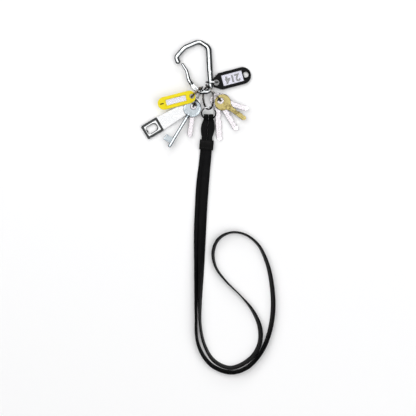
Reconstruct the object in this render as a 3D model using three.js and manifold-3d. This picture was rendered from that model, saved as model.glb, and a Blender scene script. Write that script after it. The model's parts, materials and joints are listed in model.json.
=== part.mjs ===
// A key organiser laid out on a table: a bent-gate carabiner, split rings with keys, two key tags
// and a bottle opener, and a long leather lanyard on a ring of its own. Millimetres, +Z up, table at z = 0.
import * as THREE from 'three';
import { mergeVertices } from 'three/addons/utils/BufferGeometryUtils.js';
import Module from 'manifold-3d';

const wasm = await Module();
wasm.setup();

// ---- Clearances -------------------------------------------------------------------------------
const GAP = 0.3;             // between touching pieces
const CUT = 1;               // how far a cutting tool runs past a face

// ---- Carabiner --------------------------------------------------------------------------------
const CRADLE_TILT = 5.2;     // degrees, the basket end rides up on the rings that pass under it
const ROD = { hinge: 6.2, basket: 6.2, spine: 8, crown: 6.4, nose: 6.6 };
const ROD_SIDES = 12;
const CRADLE_HEIGHT = ROD.basket / 2 + 3.7;   // the carabiner's middle plane at the group's origin
const RIVET = { x: -18.3, y: -30.9, radius: 0.9, head: 1.7, headHeight: 0.6 };
const BASKET = [[-11, -36], [3.2, -35.5]];
const CROWN = [[0.3, 24.5], [-12.5, 33.2], [-32.5, 24.5], [-43.6, 11.5]];
const NOSE_TIP = [-40.2, 2.5];
const CARABINER_RADII = [5, 7, 9, 11, 16, 5];
const GATE_ELBOWS = [[-26.4, -20.3], [-29.2, -7.5]];
const GATE_TIP = [-35.8, 3.0];
const GATE_RADII = [12, 14];
const GATE_WIDTH = { hinge: 6, tip: 3.4 };
const TONGUE = 2.4;          // thickness of the tongue that the gate's fork straddles
const HINGE_RADIUS = 3.05;
const BORE = { radius: 1.75, length: 9.5 };
const SPRING = { radius: 1.15, wire: 0.22, turns: 6, length: 4.8 };
const PLUNGER = { radius: 1.4, length: 3 };

// ---- Rings ------------------------------------------------------------------------------------
const COIL = { radial: 1.6, axial: 0.85, turns: 1.94, step: [325, 360] };   // a split ring's flat wire
const LEFT_RING = { radius: 15, bar: [-11.2, -35.8], rod: ROD.basket, turn: -115, play: 1.24 };
const RIGHT_RING = { radius: 15, bar: [1.1, -31.7], rod: ROD.basket, turn: -46.7, play: 0.7 };
const BRONZE_RING = { radius: 9, bar: [-14.2, -33.2], rod: ROD.basket, turn: -132.7, play: 0.88 };
const TAG_RING = { radius: 8, bar: [2.0, -22.7], rod: (ROD.basket + ROD.spine) / 2, turn: 0, play: 0.93 };
const MAIN_RING = { radius: 15.24, centre: [-0.35, -44.1, 15.1], lean: 63.5, pitch: 8.4 };
const STRAP_RING = { radius: 9.65, wire: 1, centre: [0.2, -64.3], tilt: 35, lowest: 3.6 };
const RING_FOOT = 1.2;       // height of a standing ring's lowest wire centre

// ---- Keys, tags and opener, each measured from the hole that its ring passes through ----------
const KEY_THICKNESS = 2;
const KEY_HOLE = KEY_THICKNESS + 2.4;   // radius, so that a ring's wire can cross it at a slant
const LEVEL = { first: 2.5 + KEY_THICKNESS / 2, step: KEY_THICKNESS + GAP };
const LEFT_SLOPE = 1.5;      // degrees, how far the left stack leans down to the table
const RIGHT_SLOPE = 2.5;
const NICKEL_KEYS = [
  { name: 'nickel_key_long', turn: -86.8, bow: 10, length: 57.6, blade: 9 },
  { name: 'nickel_key_middle', turn: -59.2, bow: 10.5, length: 47.7, blade: 8.6 },
  { name: 'nickel_key_short', turn: -16.7, bow: 10, length: 39.7, blade: 8 },
];
const BRASS_KEY = { name: 'brass_key', turn: -35.9, bow: 11, length: 42, blade: 7.4 };
const SMALL_KEY = { name: 'small_key', turn: -98.1, bow: 9.5, length: 43.8, blade: 7.6 };
const BOW_OFFSET = 3.6;        // from a key's hole to the middle of its bow
const BITTING = [1.6, 2.6, 1.2, 2.2, 1.8];   // depths of the cuts along a blade
const LEVER_KEY = { turn: -121.2, length: 64.2, bow: 12, bowThickness: 2.6, hole: 4, shaft: 2.1,
  collar: 3.2, collarLength: 3, bitWidth: 8.5, bitReach: 12, bitThickness: 2.4, bitFromTip: 5 };
const OPENER = { turn: -149.3, length: 80, near: 13.5, far: 21, hole: 4.7, thickness: 2,
  window: 15, windowWidth: 10, lip: 4.6, tooth: 2.2 };
const YELLOW_TAG = { length: 52, width: 17, thickness: 2.6, back: 4.8, hole: 3.2, slot: [5, 1.5],
  label: [27.4, 7.4], labelFrom: 8.2, turn: 194, height: 14.8, slope: 4, taper: 0 };
const BLACK_TAG = { length: 53, width: 23, thickness: 3, back: 5.1, hole: 4.0, freeHole: 3.9,
  label: [28, 14.5], labelFrom: 8.5, turn: 15, height: 3.8, slope: 2, taper: 6.5 };
const LABEL = 0.25;
const WINDOW = 0.8;

// ---- Leather lanyard --------------------------------------------------------------------------
const STRAP = { width: 11, thickness: 1.8, floor: 0.15 };
const FOLD = { width: 7.5, narrow: 6.4, spread: 2.4, spreadUntil: 0.72, thickness: 1.6, end: -104, gap: 1.35 };
const KEEPER = { width: 16.4, height: 5.1, wall: 1.3, length: 13.5, x: -2.7, y: -106.7, lean: 5 };
// The lanyard's route: x, y, roll in degrees and lift. Roll 0 is flat and 90 is on edge.
const ROUTE = [
  [-4.8, -104.8, 0, 1.55], [-5.9, -116, 0, 1.45], [-7.8, -133, 0, 0.2], [-11.2, -160.7, -4, 0], [-12.8, -187.7, -10, 0],
  [-14.6, -224, -25, 0], [-15.4, -264.6, -45, 0], [-16.3, -302.4, -65, 0], [-16.9, -336.2, -78, 0],
  [-15.3, -369.9, -76, 0], [-7.4, -390, -72, 0], [6.1, -405, -70, 0], [30, -413.2, -70, 0],
  [52, -406.6, -70, 0], [70.9, -386.1, -68, 0], [81.7, -360.5, -64, 0], [86.8, -330.8, -62, 0],
  [85.7, -298.4, -64, 0], [79, -266, -70, 0], [66.2, -240.3, -78, 0], [47.9, -226.8, -82, 0],
  [29, -224.9, -80, 0], [12.8, -234.2, -72, 0], [6.1, -251.8, -72, 0], [10.1, -272, -80, 0],
  [23.6, -290.3, -86, 0], [43.9, -310.5, -92, 0], [60.1, -330.8, -108, 0], [69.5, -353.7, -118, 0],
  [68.2, -376.7, -116, 0], [55.4, -395.4, -112, 0], [30.4, -407, -110, 0], [8.1, -398, -108, 0],
  [-4.9, -377.5, -104, 0], [-11.1, -349.7, -102, 0], [-11.4, -315.9, -112, 0],
  [-10.1, -278.1, -130, 0], [-8.9, -234.9, -152, 0.5], [-6.9, -187.7, -170, 1.9],
  [-3.6, -143, -179, 2.4], [-1.4, -118, -180, 3.65], [-0.5, -104.8, -180, 3.85],
];

// ---- Small tools ------------------------------------------------------------------------------
const rad = THREE.MathUtils.degToRad;
const polar = (radius, degrees) => [radius * Math.cos(rad(degrees)), radius * Math.sin(rad(degrees))];

function toManifold(geometry) {
  const bare = geometry.clone();
  bare.deleteAttribute('normal');
  bare.deleteAttribute('uv');
  const merged = mergeVertices(bare.index ? bare.toNonIndexed() : bare, 1e-4);
  return new wasm.Manifold(new wasm.Mesh({
    numProp: 3,
    vertProperties: new Float32Array(merged.attributes.position.array),
    triVerts: new Uint32Array(merged.index.array),
  }));
}

function toGeometry(solid) {
  const mesh = solid.getMesh();
  const geometry = new THREE.BufferGeometry();
  geometry.setAttribute('position', new THREE.BufferAttribute(mesh.vertProperties, 3));
  geometry.setIndex(new THREE.BufferAttribute(mesh.triVerts, 1));
  return geometry;
}

function join(first, ...others) {
  return toGeometry(others.reduce((sum, g) => sum.add(toManifold(g)), toManifold(first)));
}

function cut(first, ...tools) {
  return toGeometry(tools.reduce((left, g) => left.subtract(toManifold(g)), toManifold(first)));
}

function plate(shape, thickness, curveSegments = 10) {
  const settings = { depth: thickness, bevelEnabled: false, curveSegments };
  return new THREE.ExtrudeGeometry(shape, settings).translate(0, 0, -thickness / 2);
}

function post(radius, height, x = 0, y = 0, z = 0, sides = 24) {
  return new THREE.CylinderGeometry(radius, radius, height, sides).rotateX(Math.PI / 2).translate(x, y, z);
}

function block(width, depth, height, x = 0, y = 0, z = 0) {
  return new THREE.BoxGeometry(width, depth, height).translate(x, y, z);
}

/** A path through corners, each rounded by an arc of its own radius. */
function roundedPath(corners, radii) {
  const points = corners.map(([x, y]) => new THREE.Vector2(x, y));
  const path = new THREE.Path();
  path.moveTo(points[0].x, points[0].y);
  radii.forEach((radius, i) => {
    const corner = points[i + 1];
    const back = points[i].clone().sub(corner).normalize();
    const ahead = points[i + 2].clone().sub(corner).normalize();
    const half = back.angleTo(ahead) / 2;
    const start = corner.clone().addScaledVector(back, radius / Math.tan(half));
    const end = corner.clone().addScaledVector(ahead, radius / Math.tan(half));
    const middle = back.clone().add(ahead).setLength(radius / Math.sin(half)).add(corner);
    path.lineTo(start.x, start.y);
    path.absarc(middle.x, middle.y, radius, start.clone().sub(middle).angle(),
      end.clone().sub(middle).angle(), back.cross(ahead) > 0);
  });
  const last = points[points.length - 1];
  path.lineTo(last.x, last.y);
  return path;
}

/** A straight extrusion of a section, laid along a flat path. The section's x goes to the path's left. */
function sweep(section, path, steps, sizeAt = () => [1, 1]) {
  const bar = new THREE.ExtrudeGeometry(section, { depth: 1, steps, bevelEnabled: false });
  const place = bar.attributes.position;
  for (let i = 0; i < place.count; i += 1) {
    const u = THREE.MathUtils.clamp(place.getZ(i), 0, 1);
    const [wide, tall] = sizeAt(u);
    const point = path.getPointAt(u);
    const along = path.getTangentAt(u);
    const across = place.getX(i) * wide;
    place.setXYZ(i, point.x - along.y * across, point.y + along.x * across, place.getY(i) * tall);
  }
  return bar;
}

function disc(radius, sides) {
  const shape = new THREE.Shape();
  for (let i = 0; i < sides; i += 1) {
    const [x, y] = polar(radius, 360 * (i + 0.5) / sides);
    if (i === 0) shape.moveTo(x, y);
    else shape.lineTo(x, y);
  }
  return shape.closePath();
}

function rectangle(width, height, x = 0, y = 0) {
  return new THREE.Shape([
    new THREE.Vector2(x - width / 2, y - height / 2), new THREE.Vector2(x + width / 2, y - height / 2),
    new THREE.Vector2(x + width / 2, y + height / 2), new THREE.Vector2(x - width / 2, y + height / 2),
  ]);
}

/** Straight-line blending between stops, each a place from 0 to 1 and a value. */
function blend(stops, u) {
  const next = stops.findIndex(([place]) => place >= u);
  if (next <= 0) return stops[Math.max(next, 0)][1];
  const [[from, low], [to, high]] = [stops[next - 1], stops[next]];
  return low + (high - low) * (u - from) / (to - from);
}

function material(color, roughness, metalness) {
  return new THREE.MeshStandardMaterial({ color, roughness, metalness });
}

const FINISH = {
  aluminium: material(0xc9ccce, 0.25, 1),
  steel: material(0xb8bbbd, 0.22, 1),
  gunmetal: material(0x3c3a38, 0.35, 1),
  bronze: material(0x5a4a36, 0.4, 1),
  brass: material(0xb99b4c, 0.35, 1),
  nickel: material(0xd4d2d6, 0.3, 1),
  leather: material(0x111113, 0.6, 0),
  yellow: material(0xe8d511, 0.4, 0),
  black: material(0x0c0c0d, 0.35, 0),
  paper: material(0xe9e7f2, 0.8, 0),
  clear: material(0xf2f5fa, 0.1, 0),
};

function piece(name, geometry, finish) {
  const mesh = new THREE.Mesh(geometry, finish);
  mesh.name = name;
  return mesh;
}

function group(...children) {
  const made = new THREE.Group();
  made.add(...children);
  return made;
}

// ---- Carabiner --------------------------------------------------------------------------------
const bodyPath = roundedPath([[RIVET.x, RIVET.y], ...BASKET, ...CROWN, NOSE_TIP], CARABINER_RADII);
const gatePath = roundedPath([[RIVET.x, RIVET.y], ...GATE_ELBOWS, GATE_TIP], GATE_RADII);
const rodSection = disc(1 / Math.cos(Math.PI / ROD_SIDES), ROD_SIDES);
const gateTurn = Math.atan2(GATE_ELBOWS[0][1] - RIVET.y, GATE_ELBOWS[0][0] - RIVET.x);

function carabinerBody() {
  const stops = [[0, ROD.hinge], [0.06, ROD.basket], [0.22, ROD.basket], [0.32, ROD.spine],
    [0.52, ROD.spine], [0.62, ROD.crown], [0.88, ROD.crown], [0.93, ROD.nose], [1, ROD.nose]];
  const rod = sweep(rodSection, bodyPath, 84, (u) => {
    const half = blend(stops, u) / 2;
    return [half, half];
  });
  const eye = post(HINGE_RADIUS, ROD.hinge - CUT, RIVET.x, RIVET.y);
  const cheek = ROD.hinge;
  const reliefHeight = TONGUE / 2 + cheek / 2;
  const reliefs = [1, -1].map((side) => post(HINGE_RADIUS + GAP, cheek, RIVET.x, RIVET.y, side * reliefHeight));
  return cut(join(rod, eye), ...reliefs, post(RIVET.radius + GAP, ROD.hinge, RIVET.x, RIVET.y));
}

function carabinerGate() {
  const arm = sweep(rodSection, gatePath, 40, (u) => {
    const half = THREE.MathUtils.lerp(GATE_WIDTH.hinge, GATE_WIDTH.tip, u) / 2;
    return [half, half];
  });
  const eye = post(HINGE_RADIUS, GATE_WIDTH.hinge - 0.4, RIVET.x, RIVET.y);
  const slot = post(HINGE_RADIUS + GAP, TONGUE + 2 * GAP, RIVET.x, RIVET.y);
  const bore = new THREE.CylinderGeometry(BORE.radius, BORE.radius, BORE.length + HINGE_RADIUS, 16)
    .translate(0, (BORE.length + HINGE_RADIUS) / 2, 0).rotateZ(gateTurn - Math.PI / 2)
    .translate(RIVET.x, RIVET.y, 0);
  return cut(join(arm, eye), slot, bore, post(RIVET.radius + GAP, ROD.hinge + CUT, RIVET.x, RIVET.y));
}

function alongGate(geometry, from) {
  return geometry.translate(0, from, 0).rotateZ(gateTurn - Math.PI / 2).translate(RIVET.x, RIVET.y, 0);
}

function gateSpring() {
  class Helix extends THREE.Curve {
    getPoint(t, target = new THREE.Vector3()) {
      const turn = 2 * Math.PI * SPRING.turns * t;
      return target.set(SPRING.radius * Math.cos(turn), SPRING.length * t, SPRING.radius * Math.sin(turn));
    }
  }
  const wire = new THREE.ExtrudeGeometry(disc(SPRING.wire, 5), { steps: 66, extrudePath: new Helix() });
  return alongGate(wire, HINGE_RADIUS + 3 * GAP + PLUNGER.length + SPRING.wire);
}

function gatePlunger() {
  const nose = PLUNGER.radius / 2;
  const profile = [[0, 0], [nose, 0], [PLUNGER.radius, nose], [PLUNGER.radius, PLUNGER.length], [0, PLUNGER.length]];
  const turned = new THREE.LatheGeometry(profile.map(([x, y]) => new THREE.Vector2(x, y)), 14);
  return alongGate(turned, HINGE_RADIUS + 2 * GAP);
}

function gateRivet() {
  const half = GATE_WIDTH.hinge / 2;
  const top = half + GAP + RIVET.headHeight;
  const profile = [[0, -top], [RIVET.head, -top + 0.2], [RIVET.head, -half - GAP], [RIVET.radius, -half - GAP],
    [RIVET.radius, half + GAP], [RIVET.head, half + GAP], [RIVET.head, top - 0.2], [0, top]];
  const turned = new THREE.LatheGeometry(profile.map(([x, y]) => new THREE.Vector2(x, y)), 18);
  return turned.rotateX(Math.PI / 2).translate(RIVET.x, RIVET.y, 0);
}

const carabiner = group(
  piece('carabiner_body', carabinerBody(), FINISH.aluminium),
  piece('carabiner_gate', carabinerGate(), FINISH.aluminium),
  piece('gate_rivet', gateRivet(), FINISH.steel),
  piece('gate_spring', gateSpring(), FINISH.steel),
  piece('gate_plunger', gatePlunger(), FINISH.steel),
);
carabiner.position.z = CRADLE_HEIGHT;
carabiner.rotation.x = -rad(CRADLE_TILT);

// ---- Rings ------------------------------------------------------------------------------------
/** A split ring: flat wire wound almost twice round its z axis, stepping once from one layer to the other. */
function splitRing(radius) {
  const layer = (COIL.axial + GAP) / 2;
  const steps = Math.round(20 + radius * 2.6);
  const wire = new THREE.ExtrudeGeometry(rectangle(COIL.radial, COIL.axial), { depth: 1, steps, bevelEnabled: false });
  const place = wire.attributes.position;
  for (let i = 0; i < place.count; i += 1) {
    const degrees = 360 * COIL.turns * place.getZ(i);
    const height = layer * (2 * THREE.MathUtils.smoothstep(degrees, ...COIL.step) - 1);
    const [x, y] = polar(radius - place.getX(i), degrees);
    place.setXYZ(i, x, y, place.getY(i) + height);
  }
  return wire;
}

/** How far a standing ring's middle lies out from its bar, with the wire clear of the bar by the ring's play. */
function ringReach(ring) {
  const drop = ring.radius + RING_FOOT - barPoint(ring.bar).z;
  const away = ring.radius - COIL.radial / 2 - ring.rod / 2 - ring.play;
  return Math.sqrt(away ** 2 - drop ** 2);
}

/** A ring that stands upright round the carabiner's bar, pointing along its turn. */
function standingRing(name, ring, finish) {
  const mesh = piece(name, splitRing(ring.radius), finish);
  mesh.rotation.set(Math.PI / 2, 0, 0);
  const holder = group(mesh);
  const [x, y] = polar(ringReach(ring), ring.turn);
  holder.position.set(ring.bar[0] + x, barPoint(ring.bar).y + y, ring.radius + RING_FOOT);
  holder.rotation.z = rad(ring.turn);
  return holder;
}

function barPoint([x, y]) {
  return new THREE.Vector3(x, y, 0).applyEuler(carabiner.rotation).add(carabiner.position);
}

/** Where a standing ring's wire passes the given height, on the side away from the bar. */
function onRing(ring, height) {
  const drop = ring.radius + RING_FOOT - height;
  const [x, y] = polar(ringReach(ring) + Math.sqrt(ring.radius ** 2 - drop ** 2), ring.turn);
  return [ring.bar[0] + x, barPoint(ring.bar).y + y, height];
}

const mainRing = piece('main_ring', splitRing(MAIN_RING.radius), FINISH.gunmetal);
const mainNorth = new THREE.Vector3(0, Math.cos(rad(MAIN_RING.pitch)), Math.sin(rad(MAIN_RING.pitch)));
const mainLean = new THREE.Vector3(Math.cos(rad(MAIN_RING.lean)), 0, Math.sin(rad(MAIN_RING.lean)));
const mainAxis = mainNorth.clone().cross(mainLean).normalize();
mainRing.quaternion.setFromRotationMatrix(
  new THREE.Matrix4().makeBasis(mainNorth, mainAxis.clone().cross(mainNorth), mainAxis));
mainRing.position.set(...MAIN_RING.centre);

const strapRingHeight = STRAP_RING.lowest + STRAP_RING.radius * Math.sin(rad(STRAP_RING.tilt));
const strapRing = piece('strap_ring', new THREE.TorusGeometry(STRAP_RING.radius, STRAP_RING.wire, 10, 40), FINISH.steel);
strapRing.position.set(...STRAP_RING.centre, strapRingHeight);
strapRing.rotation.x = rad(STRAP_RING.tilt);

// ---- Flat pieces that hang on a ring -----------------------------------------------------------
/** Places a piece with its hole on a ring: turned to its direction, and sloped in its stack's plane. */
function hang(meshes, [x, y, z], turn, slope, slopeTurn = turn) {
  const flat = group(...meshes);
  flat.rotation.z = rad(turn - slopeTurn);
  const sloped = group(flat);
  sloped.rotation.y = rad(slope);
  const holder = group(sloped);
  holder.rotation.z = rad(slopeTurn);
  holder.position.set(x, y, z);
  return holder;
}

/** A pin-tumbler key, its hole at the origin and its blade along +x. */
function tumblerKey({ bow, length, blade }) {
  const half = blade / 2;
  const shoulder = BOW_OFFSET + Math.sqrt(bow ** 2 - (half + 1) ** 2);
  const tip = length - half * 0.8;
  const shape = new THREE.Shape();
  const lean = Math.atan2(half + 1, shoulder - BOW_OFFSET);
  shape.absarc(BOW_OFFSET, 0, bow, lean, 2 * Math.PI - lean, false);
  shape.lineTo(shoulder + 2, -half - 1);
  shape.lineTo(shoulder + 2, -half);
  shape.lineTo(tip, -half);
  shape.lineTo(length, -half * 0.25);
  shape.lineTo(length, half * 0.1);
  const first = shoulder + 4.5;
  const step = (tip - first) / BITTING.length;
  for (let i = BITTING.length - 1; i >= 0; i -= 1) {
    const middle = first + step * (i + 0.5);
    const depth = half - BITTING[i];
    shape.lineTo(middle + step * 0.5, half - 0.4);
    shape.lineTo(middle + step * 0.15, depth);
    shape.lineTo(middle - step * 0.15, depth);
  }
  shape.lineTo(first, half);
  shape.lineTo(shoulder + 2, half);
  shape.lineTo(shoulder + 2, half + 1);
  shape.closePath();
  shape.holes.push(new THREE.Path().absarc(0, 0, KEY_HOLE, 0, 2 * Math.PI, true));
  const grooveDepth = KEY_THICKNESS * 0.3;
  const groove = block(length - shoulder, blade * 0.16, grooveDepth * 2,
    (length + shoulder) / 2 + 3, -half * 0.45, KEY_THICKNESS / 2);
  return cut(plate(shape, KEY_THICKNESS, 9), groove);
}

function leverKey() {
  const k = LEVER_KEY;
  const bow = plate(disc(k.bow, 36), k.bowThickness).translate(BOW_OFFSET, 0, 0);
  const neck = BOW_OFFSET + k.bow - 1.5;
  const profile = [[0, neck], [k.collar, neck], [k.collar, neck + k.collarLength],
    [k.shaft, neck + k.collarLength + 1], [k.shaft, k.length - 1], [k.shaft * 0.6, k.length], [0, k.length]];
  const shaft = new THREE.LatheGeometry(profile.map(([x, y]) => new THREE.Vector2(x, y)), 16)
    .rotateZ(-Math.PI / 2);
  const bitMiddle = k.length - k.bitFromTip - k.bitWidth / 2;
  const bit = block(k.bitWidth, k.bitReach, k.bitThickness, bitMiddle, -k.bitReach / 2);
  const wards = [-0.2, 0.25].map((place) => block(k.bitWidth * 0.12, k.bitReach * 0.35, k.bitThickness + CUT,
    bitMiddle + place * k.bitWidth, -k.bitReach));
  return cut(join(bow, shaft, bit), post(k.hole, k.collar * 2 + CUT), ...wards);
}

function bottleOpener() {
  const o = OPENER;
  const near = o.near / 2;
  const far = o.far / 2;
  const outline = new THREE.Shape();
  const corner = 1.8;
  outline.absarc(0, 0, near, Math.PI * 0.5, Math.PI * 1.5, false);
  outline.lineTo(o.length - corner, -far);
  outline.absarc(o.length - corner, -far + corner, corner, -Math.PI / 2, 0, false);
  outline.absarc(o.length - corner, far - corner, corner, 0, Math.PI / 2, false);
  outline.closePath();
  const end = o.length - o.lip;
  const start = end - o.window;
  const side = o.windowWidth / 2;
  const round = 2.5;
  const hook = new THREE.Path();
  hook.moveTo(start + side, -side);
  hook.absarc(start + side, 0, side, -Math.PI / 2, Math.PI / 2, true);
  hook.lineTo(end - round, side);
  hook.absarc(end - round, side - round, round, Math.PI / 2, 0, true);
  hook.lineTo(end, o.tooth);
  hook.lineTo(end - 1.2, o.tooth * 0.6);
  hook.lineTo(end - 1.2, -o.tooth * 0.6);
  hook.lineTo(end, -o.tooth);
  hook.absarc(end - round, -side + round, round, 0, -Math.PI / 2, true);
  hook.closePath();
  outline.holes.push(hook, new THREE.Path().absarc(0, 0, o.hole, 0, 2 * Math.PI, true));
  return plate(outline, o.thickness, 8);
}

/** A key tag's shell: a rounded plate with a label pocket, a ring hole and a hole or slot at its free end. */
function tagShell(tag) {
  const half = tag.width / 2;
  const far = tag.length - tag.back;
  const shape = new THREE.Shape();
  if (tag.taper > 0) {
    const low = half - tag.taper;
    shape.moveTo(-tag.back, low);
    shape.lineTo(-tag.back, -low);
    shape.lineTo(tag.taper - 1, -half);
  } else {
    shape.absarc(half - tag.back, 0, half, Math.PI / 2, Math.PI * 1.5, false);
  }
  shape.absarc(far - half, 0, half, -Math.PI / 2, Math.PI / 2, false);
  if (tag.taper > 0) shape.lineTo(tag.taper - 1, half);
  shape.closePath();
  shape.holes.push(new THREE.Path().absarc(0, 0, tag.hole, 0, 2 * Math.PI, true));
  if (tag.freeHole) {
    shape.holes.push(new THREE.Path().absarc(far - half * 0.6, 0, tag.freeHole, 0, 2 * Math.PI, true));
  } else {
    const [long, tall] = tag.slot;
    shape.holes.push(new THREE.Path(rectangle(long, tall, far - half * 0.65, 0).getPoints().reverse()));
  }
  const [long, tall] = tag.label;
  const depth = LABEL + WINDOW + 2 * GAP;
  const pocket = block(long + 2 * GAP, tall + 2 * GAP, depth + CUT, tag.labelFrom + long / 2, 0,
    tag.thickness / 2 - depth / 2 + CUT / 2);
  return cut(plate(shape, tag.thickness, 9), pocket);
}

function tagPieces(prefix, tag, finish) {
  const [long, tall] = tag.label;
  const middle = tag.labelFrom + long / 2;
  const top = tag.thickness / 2;
  const window = block(long, tall, WINDOW, middle, 0, top - WINDOW / 2);
  const label = block(long, tall, LABEL, middle, 0, top - WINDOW - GAP - LABEL / 2);
  return [
    piece(`${prefix}_shell`, tagShell(tag), finish),
    piece(`${prefix}_label`, label, FINISH.paper),
    piece(`${prefix}_window`, window, FINISH.clear),
  ];
}

function rightKey(key, finish, place) {
  const height = LEVEL.first + LEVEL.step * place;
  return hang([piece(key.name, tumblerKey(key), finish)], onRing(RIGHT_RING, height),
    key.turn, RIGHT_SLOPE, RIGHT_RING.turn);
}

const leverHeight = LEVEL.first + LEVEL.step + KEY_THICKNESS / 2 + GAP + LEVER_KEY.shaft + 0.3;
const rightSide = [...NICKEL_KEYS.map((key, i) => rightKey(key, FINISH.nickel, i)),
  rightKey(BRASS_KEY, FINISH.brass, NICKEL_KEYS.length)];
const leftSide = [
  hang([piece('bottle_opener', bottleOpener(), FINISH.steel)], onRing(LEFT_RING, LEVEL.first),
    OPENER.turn, LEFT_SLOPE, LEFT_RING.turn),
  hang([piece(SMALL_KEY.name, tumblerKey(SMALL_KEY), FINISH.nickel)],
    onRing(LEFT_RING, LEVEL.first + LEVEL.step), SMALL_KEY.turn, LEFT_SLOPE, LEFT_RING.turn),
  hang([piece('lever_key', leverKey(), FINISH.nickel)], onRing(LEFT_RING, leverHeight),
    LEVER_KEY.turn, LEFT_SLOPE, LEFT_RING.turn),
];
const yellowTag = hang(tagPieces('yellow_tag', YELLOW_TAG, FINISH.yellow),
  onRing(BRONZE_RING, YELLOW_TAG.height), YELLOW_TAG.turn, YELLOW_TAG.slope);
const blackTag = hang(tagPieces('black_tag', BLACK_TAG, FINISH.black),
  onRing(TAG_RING, BLACK_TAG.height), BLACK_TAG.turn, BLACK_TAG.slope);

// ---- Leather lanyard --------------------------------------------------------------------------
const keeperFloor = KEEPER.wall;

/** The height of the strap's middle line where it leans by its roll on the table. */
function strapHeight(roll, lift) {
  const rise = Math.abs(Math.sin(rad(roll))) * STRAP.width / 2;
  return STRAP.floor + rise + Math.abs(Math.cos(rad(roll))) * STRAP.thickness / 2 + lift;
}

function lanyardStrap() {
  const line = new THREE.CatmullRomCurve3(
    ROUTE.map(([x, y, roll, lift]) => new THREE.Vector3(x, y, strapHeight(roll, lift))), false, 'centripetal');
  line.arcLengthDivisions = 2000;
  const bar = new THREE.ExtrudeGeometry(rectangle(STRAP.width, STRAP.thickness),
    { depth: 1, steps: 79, bevelEnabled: false });
  const place = bar.attributes.position;
  const up = new THREE.Vector3(0, 0, 1);
  const last = ROUTE.length - 1;
  for (let i = 0; i < place.count; i += 1) {
    const u = THREE.MathUtils.clamp(place.getZ(i), 0, 1);
    const t = line.getUtoTmapping(u);
    const from = Math.min(Math.floor(t * last), last - 1);
    const roll = rad(THREE.MathUtils.lerp(ROUTE[from][2], ROUTE[from + 1][2], t * last - from));
    const along = line.getTangent(t);
    const left = up.clone().cross(along).normalize();
    const top = along.clone().cross(left);
    const wide = left.clone().multiplyScalar(Math.cos(roll)).addScaledVector(top, Math.sin(roll));
    const thick = top.multiplyScalar(Math.cos(roll)).addScaledVector(left, -Math.sin(roll));
    const point = line.getPoint(t).addScaledVector(wide, place.getX(i)).addScaledVector(thick, place.getY(i));
    place.setXYZ(i, point.x, point.y, point.z);
  }
  return bar;
}

/** One of the strap's two ends: folded over the strap ring, both layers running into the keeper. */
function strapFold(side) {
  const tilt = rad(STRAP_RING.tilt);
  const near = STRAP_RING.radius * 0.28;
  const layer = FOLD.gap + FOLD.thickness / 2;
  const onPlane = (depth, offset) => [
    STRAP_RING.centre[1] - depth * Math.cos(tilt) - offset * Math.sin(tilt),
    strapRingHeight - depth * Math.sin(tilt) + offset * Math.cos(tilt)];
  const low = STRAP_RING.lowest - STRAP_RING.wire - GAP - FOLD.thickness / 2;
  const bend = STRAP_RING.centre[1] - STRAP_RING.radius * Math.cos(tilt);
  const inKeeper = keeperFloor + GAP + FOLD.thickness / 2;
  const path = roundedPath([
    [FOLD.end, inKeeper], [bend + 1, low], onPlane(near, -layer), onPlane(near, layer),
    [bend - 1.6, STRAP_RING.lowest + layer + 0.2], [FOLD.end, inKeeper + FOLD.thickness + 2 * GAP + 0.6],
  ], [3, layer - 0.05, layer - 0.05, 6]);
  const strip = sweep(rectangle(FOLD.thickness, FOLD.width), path, 52);
  const place = strip.attributes.position;
  for (let i = 0; i < place.count; i += 1) {
    const [y, z, x] = [place.getX(i), place.getY(i), place.getZ(i)];
    const share = THREE.MathUtils.clamp((bend - y) / (bend - FOLD.end), 0, 1);
    const spread = FOLD.spread * Math.sin(Math.PI * Math.min(share / FOLD.spreadUntil, 1)) / FOLD.width;
    const narrow = THREE.MathUtils.lerp(FOLD.narrow / FOLD.width, 1, share) + spread;
    const centre = THREE.MathUtils.lerp(STRAP_RING.centre[0], KEEPER.x, share);
    place.setXYZ(i, centre + side * (FOLD.width / 2 + GAP / 2) * narrow + x * narrow, y, z);
  }
  return strip;
}

function strapKeeper() {
  const outer = rectangle(KEEPER.width + 2 * KEEPER.wall, KEEPER.height + 2 * KEEPER.wall);
  outer.holes.push(new THREE.Path(rectangle(KEEPER.width, KEEPER.height).getPoints().reverse()));
  return plate(outer, KEEPER.length).rotateX(Math.PI / 2).rotateZ(-rad(KEEPER.lean))
    .translate(KEEPER.x, KEEPER.y, keeperFloor + KEEPER.height / 2);
}

const lanyard = [
  piece('strap_fold_left', strapFold(-1), FINISH.leather),
  piece('strap_fold_right', strapFold(1), FINISH.leather),
  piece('strap_keeper', strapKeeper(), FINISH.leather),
  piece('lanyard_strap', lanyardStrap(), FINISH.leather),
];

// ---- The whole organiser ----------------------------------------------------------------------
const organiser = group(
  carabiner,
  standingRing('left_ring', LEFT_RING, FINISH.gunmetal),
  standingRing('right_ring', RIGHT_RING, FINISH.gunmetal),
  standingRing('bronze_ring', BRONZE_RING, FINISH.bronze),
  standingRing('tag_ring', TAG_RING, FINISH.steel),
  mainRing, strapRing, ...leftSide, ...rightSide, yellowTag, blackTag, ...lanyard,
);

organiser.updateMatrixWorld(true);
const solidParts = new THREE.Box3();
organiser.traverse((node) => {
  if (node.isMesh && node.name !== 'lanyard_strap') solidParts.expandByObject(node, true);
});
const middle = solidParts.getCenter(new THREE.Vector3());
organiser.position.set(-middle.x, -middle.y, -solidParts.min.z);

export default organiser;
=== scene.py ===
# %% [markdown]
# # A key organiser, laid out on a table
# Polished carabiner, split rings, keys, two label tags, a bottle opener and a long leather lanyard.
# The CAD model is loaded as a fixed frame, and each visible piece is then made again in more detail,
# in metres, in the place where the CAD has it.

# %% Load the CAD frame
import json
import math

import bmesh
import bpy
from mathutils import Matrix, Vector


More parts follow.
